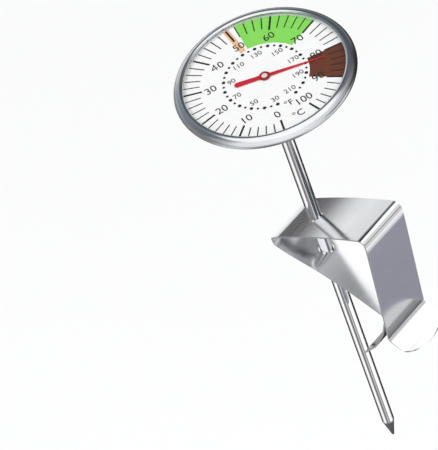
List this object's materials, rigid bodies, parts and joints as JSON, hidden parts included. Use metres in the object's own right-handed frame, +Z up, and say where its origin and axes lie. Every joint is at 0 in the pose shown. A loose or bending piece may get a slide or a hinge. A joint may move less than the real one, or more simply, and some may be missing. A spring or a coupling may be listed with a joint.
{
  "type": "dial thermometer",
  "caption": "Round bimetal dial thermometer on a thin pointed probe stem, with a folded spring clip that slides on the stem and grips the rim of a jug or pan.",
  "frame": {"origin": "middle of the inner face of the clip's outer plate, which lies against the outside of the vessel's wall", "axes": "+Z up along the stem from the tip to the dial, +X from the stem to the clip's outer plate, +Y across the clip's width"},
  "size_m": [0.0581, 0.0506, 0.1632],
  "materials": {
    "bezel_steel": "polished, faintly brushed",
    "case_steel": "satin",
    "lens_glass": "clear",
    "gasket_rubber": "matt",
    "spacer_plastic": "matt white",
    "dial_paint": "satin white, printed",
    "nut_steel": "turned",
    "seal_rubber": "matt",
    "spring_steel": "plain",
    "stem_steel": "polished",
    "guide_brass": "turned",
    "bimetal": "rolled",
    "shaft_steel": "drawn",
    "pointer_red": "satin red",
    "pointer_dark_red": "satin dark red",
    "clip_steel": "polished"
  },
  "bodies": {
    "clip": {"clip_spring": "clip_steel"},
    "stem": {"stem_tube": "stem_steel", "stem_tip": "stem_steel", "calibration_nut": "nut_steel", "retaining_ring": "spring_steel", "wave_washer": "spring_steel", "shaft_guide_upper": "guide_brass", "shaft_guide_middle": "guide_brass", "shaft_guide_lower": "guide_brass", "coil_anchor": "spring_steel", "bimetal_coil": "bimetal"},
    "head": {"bezel_ring": "bezel_steel", "case_cup": "case_steel", "lens": "lens_glass", "lens_gasket": "gasket_rubber", "spacer_ring": "spacer_plastic", "dial_plate": "dial_paint", "neck_seal": "seal_rubber"},
    "pointer": {"pointer_needle": "pointer_red", "pointer_hub": "pointer_dark_red", "pointer_shaft": "shaft_steel", "coil_hub": "guide_brass"}
  },
  "joints": [
    {"name": "clip_slide", "type": "slide", "parent": "clip", "child": "stem", "axis": [0, 0, 1], "range_m": [-0.036, 0.078]},
    {"name": "calibration_turn", "type": "hinge", "parent": "stem", "child": "head", "pos_m": [-0.02638, 0, 0.06], "axis": [0, 0, 1], "continuous": true},
    {"name": "pointer_turn", "type": "hinge", "parent": "stem", "child": "pointer", "pos_m": [-0.02638, 0, 0.066], "axis": [0, 0, 1], "range_deg": [-57.8, 272.5]}
  ]
}
